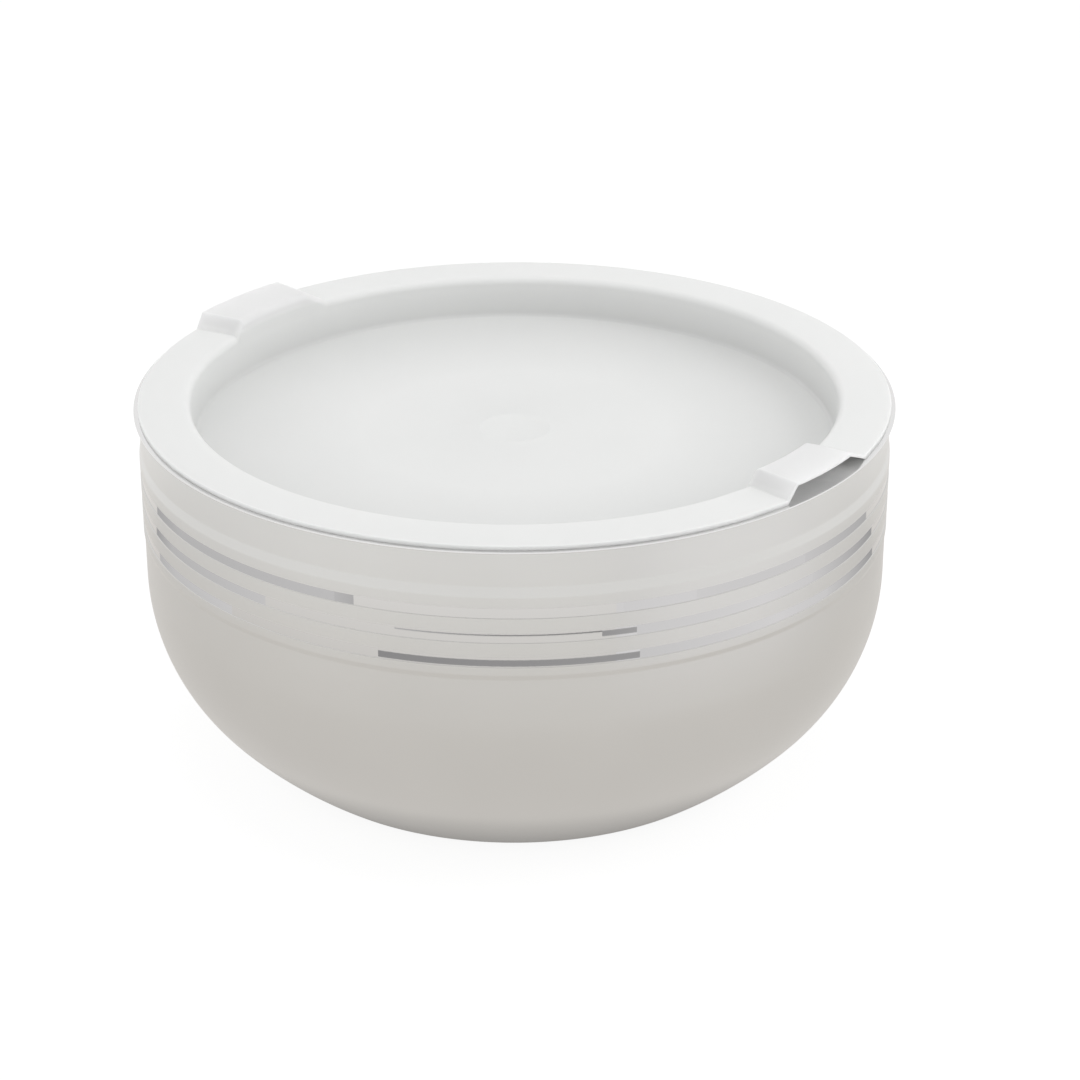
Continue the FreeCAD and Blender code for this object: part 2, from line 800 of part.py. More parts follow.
pieces = [
    make_outer_shell(),
    make_inner_bowl(),
    make_cooling_gel(),
    make_fill_plug(),
    make_base_plate(),
    make_foot_ring(),
    make_lid(),
    make_finger_arch("finger_arch_front", FRONT_ARCH),
    make_finger_arch("finger_arch_back", BACK_ARCH),
]
doc.recompute()
check_document()
os.makedirs("parts", exist_ok=True)
for piece in pieces:
    write_piece(piece)
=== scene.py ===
import math

import bmesh
import bpy
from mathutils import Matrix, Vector


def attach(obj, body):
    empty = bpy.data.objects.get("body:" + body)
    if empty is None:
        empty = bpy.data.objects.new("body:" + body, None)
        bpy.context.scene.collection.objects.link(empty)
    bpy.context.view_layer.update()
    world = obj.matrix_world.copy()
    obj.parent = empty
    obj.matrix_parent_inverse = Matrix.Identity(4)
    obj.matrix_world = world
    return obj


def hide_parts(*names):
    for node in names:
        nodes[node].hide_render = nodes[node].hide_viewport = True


# Looks of a covered chilled serving bowl. Profiles are in millimetres, objects in metres.

MM = 0.001
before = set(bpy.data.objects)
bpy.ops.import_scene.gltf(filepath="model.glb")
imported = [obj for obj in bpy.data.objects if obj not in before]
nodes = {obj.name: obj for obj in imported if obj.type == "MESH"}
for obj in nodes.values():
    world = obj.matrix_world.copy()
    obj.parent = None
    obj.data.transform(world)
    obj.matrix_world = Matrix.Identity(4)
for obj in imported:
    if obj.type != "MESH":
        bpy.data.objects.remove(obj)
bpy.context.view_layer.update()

# Heights and radii that the pieces share, as in the solids.
RIM_TOP = 125.0
SHEET = 0.7
BODY_R = 126.0
LAND_EDGE_R = 127.5

# Azimuth of the camera's right about the row's Z axis, degrees.
VIEW = 38.1


# Camera, fitted to the rim, the belt, the grooves and the outline in the photo

LENS = 98.945
SENSOR_WIDTH = 36.0
CLIP_NEAR = 0.05
CLIP_FAR = 20.0
CAMERA_PLACE = (0.5722, -0.7297, 0.5009)
CAMERA_TILT = 65.077
CAMERA_TURN = 37.578


def add_camera():
    data = bpy.data.cameras.new("camera")
    data.lens = LENS
    data.sensor_width = SENSOR_WIDTH
    data.clip_start = CLIP_NEAR
    data.clip_end = CLIP_FAR
    camera = bpy.data.objects.new("camera", data)
    bpy.context.scene.collection.objects.link(camera)
    camera.location = CAMERA_PLACE
    camera.rotation_euler = (math.radians(CAMERA_TILT), 0.0, math.radians(CAMERA_TURN))
    bpy.context.scene.camera = camera
    return camera


# Profiles

CORNER_STEPS = 6
FINE_CORNER_STEPS = 8
BELLY_STEPS = 24
SAME_POINT = 0.01
ON_AXIS = 1e-6
SEGMENTS = 288
SHARP_ANGLE = 28


def rounded(points, steps=CORNER_STEPS):
    """Points (r, z, radius) of an open or closed line, with each corner rounded off by its radius."""
    result = []
    count = len(points)
    for index, (r, z, radius) in enumerate(points):
        if radius == 0:
            result.append((r, z))
            continue
        corner = Vector((r, z))
        before = Vector(points[index - 1][:2])
        after = Vector(points[(index + 1) % count][:2])
        back = (before - corner).normalized()
        ahead = (after - corner).normalized()
        half = back.angle(ahead) / 2
        reach = radius / math.tan(half)
        start = corner + back * reach
        centre = corner + (back + ahead).normalized() * (radius / math.sin(half))
        sweep = math.pi - 2 * half
        first = start - centre
        turn = 1 if back.x * ahead.y - back.y * ahead.x < 0 else -1
        for step in range(steps + 1):
            angle = turn * sweep * step / steps
            cos_a = math.cos(angle)
            sin_a = math.sin(angle)
            result.append((
                centre.x + first.x * cos_a - first.y * sin_a,
                centre.y + first.x * sin_a + first.y * cos_a,
            ))
    return result


def belly(wall, arcs, turn, base_radius, base_height, corner, inset):
    """Points of a round bottom from its wall to its flat base: two arcs and a rounded corner."""
    upper, lower = arcs
    turn = math.radians(turn)
    upper_r = wall - upper
    lower_r = upper_r + (upper - lower) * math.cos(turn)
    lower_z = base_height + math.sqrt(lower ** 2 - (base_radius - lower_r) ** 2)
    upper_z = lower_z - (lower - upper) * math.sin(turn)
    corner_z = base_height + corner
    corner_r = lower_r + math.sqrt((lower - corner) ** 2 - (lower_z - corner_z) ** 2)
    end = math.asin((lower_z - corner_z) / (lower - corner))
    points = []
    for centre_r, centre_z, radius, start, stop in (
        (upper_r, upper_z, upper - inset, 0, turn),
        (lower_r, lower_z, lower - inset, turn, end),
        (corner_r, corner_z, corner - inset, end, math.pi / 2),
    ):
        for step in range(BELLY_STEPS + 1):
            angle = start + (stop - start) * step / BELLY_STEPS
            point = (centre_r + radius * math.cos(angle), centre_z - radius * math.sin(angle), 0)
            if not points or math.dist(points[-1][:2], point[:2]) > SAME_POINT:
                points.append(point)
    return points


def at_angle(r, angle, z):
    """A place in metres, from a radius and a height in millimetres."""
    return r * MM * math.cos(angle), r * MM * math.sin(angle), z * MM


def lathe(name, profile, zones):
    """Turn a closed profile of (r, z) in millimetres about Z. zones gives each side's material slot."""
    mesh = bmesh.new()
    angles = [math.tau * i / SEGMENTS for i in range(SEGMENTS)]
    rings = []
    for r, z in profile:
        if r < ON_AXIS:
            rings.append([mesh.verts.new((0, 0, z * MM))] * SEGMENTS)
        else:
            rings.append([mesh.verts.new(at_angle(r, angle, z)) for angle in angles])
    for side, ring in enumerate(rings):
        upper = rings[(side + 1) % len(rings)]
        for i in range(SEGMENTS):
            j = (i + 1) % SEGMENTS
            corners = []
            for vert in (ring[i], ring[j], upper[j], upper[i]):
                if vert not in corners:
                    corners.append(vert)
            if len(corners) > 2:
                face = mesh.faces.new(corners)
                face.material_index = zones[side]
    return finish_mesh(name, mesh)


def finish_mesh(name, mesh):
    bmesh.ops.recalc_face_normals(mesh, faces=mesh.faces)
    data = bpy.data.meshes.new(name)
    mesh.to_mesh(data)
    mesh.free()
    data.shade_smooth()
    data.set_sharp_from_angle(angle=math.radians(SHARP_ANGLE))
    piece = bpy.data.objects.new(name, data)
    bpy.context.scene.collection.objects.link(piece)
    return piece


# Outer shell: neck, belt with three polished grooves, round bottom and stepped base

SHELL_TOP = 124.3
NECK_R = 125.8
NECK_END = 112.6
BELT_TOP = 109.5
BELT_BOTTOM = 83.0
BELT_R = 126.35
BELT_FOOT = 81.5
# Height of the step above and below the belt on the inside of the sheet.
BELT_STEP = 1.0

# Heights of the grooves, and their half width at the belt's surface and on their floor.
GROOVES = (104.1, 95.8, 87.5)
GROOVE_HALF = 1.75
GROOVE_FLAT = 1.6
GROOVE_FLOOR_R = BELT_R - 0.25

# A face is polished only where it is this far inside the polished place.
POLISH_MARGIN = 0.1

BASE_Z = 0.5
SHELL_BELLY = {
    "wall": BODY_R, "arcs": (69.0, 152.0), "turn": 43.0,
    "base_radius": 86.2, "base_height": BASE_Z, "corner": 3.0,
}
CHANNEL_OUTER_R = 79.2
CHANNEL_INNER_R = 67.2
CHANNEL_DEPTH = 1.2
PLATE_R = 61.2
PLATE_DEPTH = 2.5
DIMPLE_R = 12.0
DIMPLE_DEPTH = 4.0
FILL_HOLE_R = 5.0
OUTER_BEND = 0.9
INNER_BEND = 0.5


def shell_base(inset):
    """The base from its edge to the filling hole, moved into the sheet by inset."""
    base = BASE_Z + inset
    bend = INNER_BEND if inset else OUTER_BEND
    return [
        (CHANNEL_OUTER_R + inset, base, bend),
        (CHANNEL_OUTER_R + inset, base + CHANNEL_DEPTH, bend / 2),
        (CHANNEL_INNER_R - inset, base + CHANNEL_DEPTH, bend / 2),
        (CHANNEL_INNER_R - inset, base, bend),
        (PLATE_R + inset, base, bend),
        (PLATE_R + inset, base + PLATE_DEPTH, bend),
        (DIMPLE_R + inset, base + PLATE_DEPTH, bend / 2),
        (DIMPLE_R + inset, base + DIMPLE_DEPTH, bend / 2),
        (FILL_HOLE_R, base + DIMPLE_DEPTH, 0),
    ]


def shell_zones(profile):
    """1 for each side of the profile on the floor of a groove, else 0."""
    zones = []
    for index, (r, z) in enumerate(profile):
        middle = (z + profile[(index + 1) % len(profile)][1]) / 2
        polished = r > BODY_R - POLISH_MARGIN and any(
            abs(middle - centre) < GROOVE_HALF - POLISH_MARGIN for centre in GROOVES
        )
        zones.append(1 if polished else 0)
    return zones


def make_shell():
    outside = [(NECK_R, SHELL_TOP, 0), (NECK_R, NECK_END, 5.0), (BELT_R, BELT_TOP, 3.0)]
    for centre in GROOVES:
        outside += [
            (BELT_R, centre + GROOVE_HALF, 0),
            (GROOVE_FLOOR_R, centre + GROOVE_FLAT, 0),
            (GROOVE_FLOOR_R, centre - GROOVE_FLAT, 0),
            (BELT_R, centre - GROOVE_HALF, 0),
        ]
    outside += [(BELT_R, BELT_BOTTOM, 2.0), (BODY_R, BELT_FOOT, 3.0)]
    outside += belly(**SHELL_BELLY, inset=0) + shell_base(0)
    inside = [
        (NECK_R - SHEET, SHELL_TOP, 0),
        (NECK_R - SHEET, BELT_TOP + BELT_STEP, 0),
        (BELT_R - SHEET, BELT_TOP, 0),
        (BELT_R - SHEET, BELT_BOTTOM, 0),
        (BODY_R - SHEET, BELT_BOTTOM - BELT_STEP, 0),
    ] + belly(**SHELL_BELLY, inset=SHEET) + shell_base(SHEET)
    profile = rounded(outside) + list(reversed(rounded(inside)))
    return lathe("shell_pressing", profile, shell_zones(profile))


# Inner bowl: rim lip, flat land and food bowl

MOUTH_R = 111.0
LIP = 2.0
LIP_STEPS = 8
LAND_DEPTH = 1.0
LINER_FLOOR = 17.7
LINER_BELLY = {
    "wall": 110.0, "arcs": (48.0, 95.0), "turn": 40.0,
    "base_radius": 78.5, "base_height": LINER_FLOOR, "corner": 20.0,
}


def make_liner():
    outside = [
        (MOUTH_R + LIP, RIM_TOP, 0),
        (LAND_EDGE_R, RIM_TOP, 0.3),
        (LAND_EDGE_R, RIM_TOP - SHEET, 0.3),
        (MOUTH_R + SHEET, RIM_TOP - SHEET, 1.3),
    ] + belly(**LINER_BELLY, inset=-SHEET) + [(0, LINER_FLOOR - SHEET, 0)]
    inside = [(0, LINER_FLOOR)]
    inside += [point[:2] for point in reversed(belly(**LINER_BELLY, inset=0))]
    inside.append((MOUTH_R, RIM_TOP - LIP))
    for step in range(1, LIP_STEPS):
        angle = math.pi / 2 * step / LIP_STEPS
        inside.append((
            MOUTH_R + LIP - LIP * math.cos(angle),
            RIM_TOP - LIP + LIP * math.sin(angle),
        ))
    profile = rounded(outside) + inside
    land_r = MOUTH_R + LIP - POLISH_MARGIN
    zones = [1 if r > land_r and z > RIM_TOP - LAND_DEPTH else 0 for r, z in profile]
    return lathe("liner_pressing", profile, zones)


# Lid: one moulding, a grid of columns round the axis whose heights rise over the two arches

LID_R = 126.0
FLANGE = 1.5
FLANGE_MIDDLE_R = 118.0
RECESS_R = 108.5
PLUG_R = 109.5
PLUG_DEPTH = 14.6
RECESS_FLOOR = FLANGE - PLUG_DEPTH

# Mark of the moulding's gate in the middle of the recess: its centre, then (radius, height over the floor).
GATE_CENTRE = -0.1
GATE_MARK = (
    (0.9, -0.12), (1.5, -0.02), (2.2, 0.0), (11.3, 0.0), (11.8, 0.14), (12.2, 0.14), (12.8, 0.0),
)

ARCH_TOP = 6.4
ARCH_PLATE = 1.1
# How far the columns of a ramp reach onto the arch's top and onto the flange.
ARCH_MARGIN = 3.0
FOOT_MARGIN = 2.0

# Each ramp: angle from the arch's axis to its top, and its length.
FRONT_RAMPS = ((8.3, 3.9), (5.4, 11.0))
BACK_RAMPS = ((8.6, 8.7), (9.5, 4.0))
FRONT_AXIS = 0.0
BACK_AXIS = 180.0
CLEAR_OF_ARCH = 17.0
TOP_COLUMNS = 8
FLANGE_COLUMNS = 100

# Columns are straight lines beside the arch. Inside this radius they keep the angle that they have there.
COLUMN_R = 104.0


def height_at(line, at):
    """Height of a line of (distance, z) points at one distance."""
    for (left, low), (right, high) in zip(line, line[1:]):
        if left <= at <= right:
            return low + (high - low) * (at - left) / (right - left)
    return line[-1][1]


def ramp_columns(run):
    """Columns over one ramp: distance beyond the top line, upper height and lower height."""
    rise = ARCH_TOP - FLANGE
    slope = run / rise
    shift = ARCH_PLATE * math.hypot(run, rise) / rise
    last = run + FOOT_MARGIN
    head = -shift + slope * ARCH_PLATE
    foot = -shift + slope * ARCH_TOP
    upper = rounded([
        (-ARCH_MARGIN, ARCH_TOP, 0),
        (0, ARCH_TOP, 0.8),
        (run, FLANGE, 0.5),
        (last, FLANGE, 0),
    ], FINE_CORNER_STEPS)
    lower = rounded([
        (-ARCH_MARGIN, ARCH_TOP - ARCH_PLATE, 0),
        (head, ARCH_TOP - ARCH_PLATE, 0.5),
        (foot, 0, 0),
        (last, 0, 0),
    ])
    stops = sorted({round(point[0], 4) for point in upper + lower})
    return [(stop, height_at(upper, stop), height_at(lower, stop)) for stop in stops]


def arch_columns(axis, ramps):
    """Columns over one arch as (axis, tangent, offset, upper height, lower height)."""
    (first_side, first_run), (second_side, second_run) = ramps
    first = math.tan(math.radians(-first_side))
    second = math.tan(math.radians(second_side))
    columns = []
    for stop, high, low in reversed(ramp_columns(first_run)):
        columns.append((axis, first, -stop, high, low))
    for step in range(1, TOP_COLUMNS):
        part = step / TOP_COLUMNS
        tangent = first + (second - first) * part
        offset = ARCH_MARGIN * (1 - 2 * part)
        columns.append((axis, tangent, offset, ARCH_TOP, ARCH_TOP - ARCH_PLATE))
    for stop, high, low in ramp_columns(second_run):
        columns.append((axis, second, stop, high, low))
    return columns


def flange_columns(axis):
    """Columns of the flat flange from one arch to the next."""
    first = axis + CLEAR_OF_ARCH
    sweep = 180.0 - 2 * CLEAR_OF_ARCH
    angles = [first + sweep * step / (FLANGE_COLUMNS - 1) for step in range(FLANGE_COLUMNS)]
    return [(angle, 0.0, 0.0, FLANGE, 0.0) for angle in angles]


def lid_columns():
    return (
        arch_columns(FRONT_AXIS, FRONT_RAMPS) + flange_columns(FRONT_AXIS)
        + arch_columns(BACK_AXIS, BACK_RAMPS) + flange_columns(BACK_AXIS)
    )


def column_angle(axis, tangent, offset, r):
    """Angle at radius r of a column along y = x * tangent + offset, turned to the axis."""
    slant = math.atan(tangent)
    lean = math.asin(offset * math.cos(slant) / max(r, COLUMN_R))
    return math.radians(axis) + slant + lean


def lid_rows(high, low):
    """The lid's closed section from the centre of the recess floor round to its underside."""
    gate = [(r, RECESS_FLOOR + rise) for r, rise in GATE_MARK]
    floor = [(40.0, RECESS_FLOOR), (80.0, RECESS_FLOOR)]
    return gate + floor + rounded([
        (100.0, RECESS_FLOOR, 0),
        (RECESS_R - 0.5, RECESS_FLOOR, 1.5),
        (RECESS_R, -1.5, 0),
        (RECESS_R, high, 2.5),
        (FLANGE_MIDDLE_R, high, 0),
        (LID_R, high, 0.4),
        (LID_R, low, 0.12),
        (FLANGE_MIDDLE_R, low, 0),
        (PLUG_R + 0.5, low, 0.3),
        (PLUG_R, -PLUG_DEPTH, 3.0),
        (60.0, -PLUG_DEPTH, 0),
        (20.0, -PLUG_DEPTH, 0),
    ])


def make_lid():
    mesh = bmesh.new()
    centre_top = mesh.verts.new((0, 0, (RIM_TOP + RECESS_FLOOR + GATE_CENTRE) * MM))
    centre_low = mesh.verts.new((0, 0, (RIM_TOP - PLUG_DEPTH) * MM))
    lines = []
    for axis, tangent, offset, high, low in lid_columns():
        line = []
        for r, z in lid_rows(high, low):
            angle = column_angle(axis, tangent, offset, r)
            line.append(mesh.verts.new(at_angle(r, angle, RIM_TOP + z)))
        lines.append(line)
    for index, line in enumerate(lines):
        other = lines[(index + 1) % len(lines)]
        mesh.faces.new((centre_top, line[0], other[0]))
        mesh.faces.new((centre_low, other[-1], line[-1]))
        for row in range(len(line) - 1):
            mesh.faces.new((line[row], line[row + 1], other[row + 1], other[row]))
    return finish_mesh("lid_moulding", mesh)


# Materials

# The part of a noise's values that is spread over a range.
NOISE_SPREAD = (0.3, 0.7)
STEEL_CLOUD = 9.0
PLASTIC_CLOUD = 14.0
RING_STRETCH = (3, 3, 110)

# Painted shade and light in the lid's colour, and its subsurface weight: a range of height or radius in
# metres, and the values at its ends.
WALL_PAINTED_SHADE = (0.112, 0.1225), (0.0, 1.0)
FLOOR_PAINTED_SHADE = (0.102, 0.052), (0.0, 0.78)
PAINTED_SHADE_LEVELS = (0.0, 1.0), (0.83, 1.0)
ARCH_PAINTED_LIGHT = (0.1265, 0.1278), (1.0, 1.11)
EDGE_PAINTED_LIGHT = (0.1254, 0.1260), (1.0, 1.10)
ARCH_SCATTER = (0.1266, 0.1280), (0.4, 1.0)
SCATTER_DISTANCE = 0.003


def add_node(tree, kind, **values):
    node = tree.nodes.new(kind)
    for key, value in values.items():
        setattr(node, key, value)
    return node


def combined(tree, operation, first, second):
    """The result of a math node on two sockets."""
    node = add_node(tree, "ShaderNodeMath", operation=operation)
    tree.links.new(first, node.inputs[0])
    tree.links.new(second, node.inputs[1])
    return node.outputs["Value"]


def vector_length(tree, vector):
    node = add_node(tree, "ShaderNodeVectorMath", operation="LENGTH")
    tree.links.new(vector, node.inputs[0])
    return node.outputs["Value"]


def map_range(tree, value, inputs, outputs):
    node = add_node(tree, "ShaderNodeMapRange")
    node.inputs["From Min"].default_value, node.inputs["From Max"].default_value = inputs
    node.inputs["To Min"].default_value, node.inputs["To Max"].default_value = outputs
    tree.links.new(value, node.inputs["Value"])
    return node.outputs["Result"]


def object_noise(tree, scale, stretch=(1, 1, 1), detail=3.0):
    """Noise in the object's own coordinates, stretched along its axes."""
    coordinates = add_node(tree, "ShaderNodeTexCoord")
    mapping = add_node(tree, "ShaderNodeMapping")
    mapping.inputs["Scale"].default_value = stretch
    noise = add_node(tree, "ShaderNodeTexNoise")
    noise.inputs["Scale"].default_value = scale
    noise.inputs["Detail"].default_value = detail
    tree.links.new(coordinates.outputs["Object"], mapping.inputs["Vector"])
    tree.links.new(mapping.outputs["Vector"], noise.inputs["Vector"])
    return noise.outputs["Fac"]


def tinted(tree, value, colours):
    """Blend two colours by a noise."""
    ramp = add_node(tree, "ShaderNodeValToRGB")
    for stop, position, colour in zip(ramp.color_ramp.elements, NOISE_SPREAD, colours):
        stop.position = position
        stop.color = (*colour, 1)
    tree.links.new(value, ramp.inputs["Fac"])
    return ramp.outputs["Color"]


def add_bump(tree, shader, value, distance):
    bump = add_node(tree, "ShaderNodeBump")
    bump.inputs["Distance"].default_value = distance
    bump.inputs["Strength"].default_value = 1.0
    tree.links.new(value, bump.inputs["Height"])
    tree.links.new(bump.outputs["Normal"], shader.inputs["Normal"])


def new_material(name):
    material = bpy.data.materials.new(name)
    material.use_nodes = True
    tree = material.node_tree
    return material, tree, tree.nodes["Principled BSDF"]


def texture(tree, shader, cloud, fine, colours, rough, bump):
    """Colour from a broad noise, roughness and bump from a fine one."""
    tree.links.new(tinted(tree, cloud, colours), shader.inputs["Base Color"])
    tree.links.new(map_range(tree, fine, NOISE_SPREAD, rough), shader.inputs["Roughness"])
    add_bump(tree, shader, fine, bump)


def steel(name, colours, rough, bump):
    """Turned steel: soft rings round the axis and broad, faint cloudiness."""
    material, tree, shader = new_material(name)
    shader.inputs["Metallic"].default_value = 1.0
    cloud = object_noise(tree, STEEL_CLOUD)
    rings = object_noise(tree, 1.0, RING_STRETCH, 1.0)
    texture(tree, shader, cloud, rings, colours, rough, bump)
    return material


def plastic(name, colours, rough, bump, grain):
    """Plastic, rubber or gel: a fine grain and broad, faint cloudiness."""
    material, tree, shader = new_material(name)
    cloud = object_noise(tree, PLASTIC_CLOUD)
    fine = object_noise(tree, grain)
    texture(tree, shader, cloud, fine, colours, rough, bump)
    return material


def paint_lid_shade_and_light(material):
    """Painted shade and light in the lid's colour: darker towards the recess's corner as painted shade,
    lighter on the arches and at the edge as painted light. The subsurface weight rises on the arches.
    """
    tree = material.node_tree
    shader = tree.nodes["Principled BSDF"]
    colour = shader.inputs["Base Color"].links[0].from_socket
    coordinates = add_node(tree, "ShaderNodeTexCoord")
    axes = add_node(tree, "ShaderNodeSeparateXYZ")
    tree.links.new(coordinates.outputs["Object"], axes.inputs["Vector"])
    flat = add_node(tree, "ShaderNodeVectorMath", operation="MULTIPLY")
    flat.inputs[1].default_value = (1, 1, 0)
    tree.links.new(coordinates.outputs["Object"], flat.inputs[0])
    height = axes.outputs["Z"]
    radius = vector_length(tree, flat.outputs["Vector"])

    wall = map_range(tree, height, *WALL_PAINTED_SHADE)
    floor = map_range(tree, radius, *FLOOR_PAINTED_SHADE)
    shade = map_range(tree, combined(tree, "MAXIMUM", wall, floor), *PAINTED_SHADE_LEVELS)
    arch = map_range(tree, height, *ARCH_PAINTED_LIGHT)
    edge = map_range(tree, radius, *EDGE_PAINTED_LIGHT)
    light = combined(tree, "MAXIMUM", arch, edge)
    scaled = add_node(tree, "ShaderNodeVectorMath", operation="SCALE")
    tree.links.new(colour, scaled.inputs[0])
    tree.links.new(combined(tree, "MULTIPLY", shade, light), scaled.inputs["Scale"])
    tree.links.new(scaled.outputs["Vector"], shader.inputs["Base Color"])

    tree.links.new(map_range(tree, height, *ARCH_SCATTER), shader.inputs["Subsurface Weight"])
    shader.inputs["Subsurface Radius"].default_value = (1.0, 1.0, 1.0)
    shader.inputs["Subsurface Scale"].default_value = SCATTER_DISTANCE


def dress(piece, *materials):
    """Give a piece its materials and keep which face has which."""
    faces = piece.data.polygons
    slots = [face.material_index for face in faces]
    piece.data.materials.clear()
    for material in materials:
        piece.data.materials.append(material)
    faces.foreach_set("material_index", slots)


# Studio

CIRCLE_SEGMENTS = 96

# Floor and world: brightness as a light on the object. Seen directly, both are near white.
FLOOR_BOUNCE = 0.8
WORLD_LEVEL = 0.56
FLOOR_R = 6.0
FLOOR_Z = -0.0002
FLOOR_MATT = 0.20
FLOOR_SEEN = 0.88
WORLD_SEEN = 1.0

# Each lamp: name, place from the camera's point of view (right, away, up), size and watts.
LAMPS = (
    ("top_light", (0.0, 0.0, 1.3), 0.9, 4.2),
    ("left_light", (-0.9, -0.4, 0.8), 0.8, 1.4),
    ("right_light", (1.1, -0.1, 0.75), 0.8, 4.0),
)

# The glowing table card from under the bowl outwards: radius in metres and colour. It paints the table's
# reflection in the steel, darker near the bowl as a painted shadow.
TABLE_HEIGHT = 0.0005
TABLE_REFLECTION_STOPS = (
    (0.084, (0.36, 0.35, 0.34)),
    (0.106, (0.80, 0.775, 0.75)),
    (0.26, (0.825, 0.80, 0.77)),
    (0.345, (0.98, 0.965, 0.945)),
)

# Painted reflections in the grooves: glowing cards, placed from the camera's eye, for what the sides of the
# grooves mirror. Each: groove, azimuths of the ends from the view's right, and levels between them. The
# cards lie one above the other, so that no two are in the same plane.
STREAK_REACH = 1.8
STREAK_HEIGHT = 0.001
STREAK_STEP = 0.0002
STREAKS = (
    (0, (-157, -148), (0.52, 0.68)),
    (0, (-148, -116), (0.68, 0.76)),
    (0, (-116, -113), (0.70, 0.62)),
    (0, (-75, -64), (0.92, 0.96)),
    (0, (-64, -44), (0.92, 0.88)),
    (0, (-44, -26), (0.84, 0.58)),
    (1, (-158, -151), (0.46, 0.68)),
    (1, (-151, -128), (0.68, 0.82)),
    (1, (-73, -42), (0.88, 0.93, 0.98, 0.90)),
    (1, (-42, -23), (0.88, 0.44)),
    (2, (-157, -150), (0.62, 0.76)),
    (2, (-150, -135), (0.76, 0.86)),
    (2, (-72.5, -38), (0.84, 0.90, 0.97, 0.88)),
    (2, (-38, -22), (0.86, 0.44)),
)

# Other glowing cards that paint reflections on the belt, dark streaks and a bright sheen: name, heights on
# the belt, azimuths of the ends, levels, and height over the floor.
BELT_CARDS = (
    ("front_streak", (86.2, 88.4), (-109.5, -72.5), (0.38, 0.46), 0.0035),
    ("front_line", (96.55, 97.0), (-107, -78), (0.60, 0.34, 0.30), 0.0035),
    ("front_wedge", (95.0, 96.9), (-78, -73), (0.45, 0.52), 0.0035),
    ("right_glow", (80.0, 124.0), (-76, -42), (0.93, 1.12, 1.10, 0.93), 0.0008),
)
CARD_COLOUR = (1.0, 0.99, 1.0, 1)
CARD_STEPS = 24


def bare_tree(owner):
    """The emptied node tree of a material or world."""
    owner.use_nodes = True
    owner.node_tree.nodes.clear()
    return owner.node_tree


def glow_card(name, mesh):
    """A card over the floor that is seen only in reflections."""
    card = finish_mesh(name, mesh)
    material = bpy.data.materials.new(name)
    tree = bare_tree(material)
    glow = add_node(tree, "ShaderNodeEmission")
    output = add_node(tree, "ShaderNodeOutputMaterial")
    tree.links.new(glow.outputs["Emission"], output.inputs["Surface"])
    card.data.materials.append(material)
    card.visible_camera = False
    card.visible_diffuse = False
    card.visible_shadow = False
    return tree, glow


def add_table_reflection_card():
    """A glowing card for the reflection of the grey table round the bowl, darker near the bowl as a painted
    shadow. The cut-out white background hides the table from the camera.
    """
    mesh = bmesh.new()
    outer = TABLE_REFLECTION_STOPS[-1][0]
    bmesh.ops.create_circle(mesh, cap_ends=True, segments=CIRCLE_SEGMENTS, radius=outer)
    for vert in mesh.verts:
        vert.co.z = TABLE_HEIGHT
    tree, glow = glow_card("table_card", mesh)
    coordinates = add_node(tree, "ShaderNodeTexCoord")
    share = add_node(tree, "ShaderNodeMath", operation="DIVIDE")
    share.inputs[1].default_value = outer
    tree.links.new(vector_length(tree, coordinates.outputs["Object"]), share.inputs[0])
    ramp = add_node(tree, "ShaderNodeValToRGB")
    steps = ramp.color_ramp.elements
    while len(steps) < len(TABLE_REFLECTION_STOPS):
        steps.new(0.5)
    for step, (radius, colour) in zip(steps, TABLE_REFLECTION_STOPS):
        step.position = radius / outer
        step.color = (*colour, 1)
    tree.links.new(share.outputs["Value"], ramp.inputs["Fac"])
    tree.links.new(ramp.outputs["Color"], glow.inputs["Color"])


def mirrored(eye, azimuth, z, height):
    """The point at a height over the floor that the camera sees in a groove at z, as in a mirror.

    Azimuth is from the view's right.
    """
    angle = math.radians(azimuth + VIEW)
    normal = Vector((math.cos(angle), math.sin(angle), 0))
    point = normal * GROOVE_FLOOR_R * MM + Vector((0, 0, z * MM))
    ray = (point - eye).reflect(normal)
    return point + ray * ((height - point.z) / ray.z)


def level_at(levels, share):
    """Level at a share of the way along evenly spaced levels."""
    place = share * (len(levels) - 1)
    before = min(int(place), len(levels) - 2)
    return levels[before] + (levels[before + 1] - levels[before]) * (place - before)


def add_groove_card(name, eye, rims, ends, levels, height):
    """A glowing card, a painted reflection, that fills the mirror between two heights and two azimuths with
    levels between its ends.
    """
    first, last = ends
    shares = [step / CARD_STEPS for step in range(CARD_STEPS + 1)]
    mesh = bmesh.new()
    level = mesh.verts.layers.float.new("level")
    rows = []
    for z in rims:
        row = []
        for share in shares:
            azimuth = first + (last - first) * share
            vert = mesh.verts.new(mirrored(eye, azimuth, z, height))
            vert[level] = level_at(levels, share)
            row.append(vert)
        rows.append(row)
    lower, upper = rows
    for step in range(CARD_STEPS):
        mesh.faces.new((lower[step], upper[step], upper[step + 1], lower[step + 1]))
    tree, glow = glow_card(name, mesh)
    glow.inputs["Color"].default_value = CARD_COLOUR
    brightness = add_node(tree, "ShaderNodeAttribute", attribute_name="level")
    tree.links.new(brightness.outputs["Fac"], glow.inputs["Strength"])


def add_cards(eye):
    add_table_reflection_card()
    for index, (groove, ends, levels) in enumerate(STREAKS):
        rims = (GROOVES[groove] - STREAK_REACH, GROOVES[groove] + STREAK_REACH)
        height = STREAK_HEIGHT + STREAK_STEP * index
        add_groove_card(f"streak_{index}", eye, rims, ends, levels, height)
    for name, rims, ends, levels, height in BELT_CARDS:
        add_groove_card(name, eye, rims, ends, levels, height)


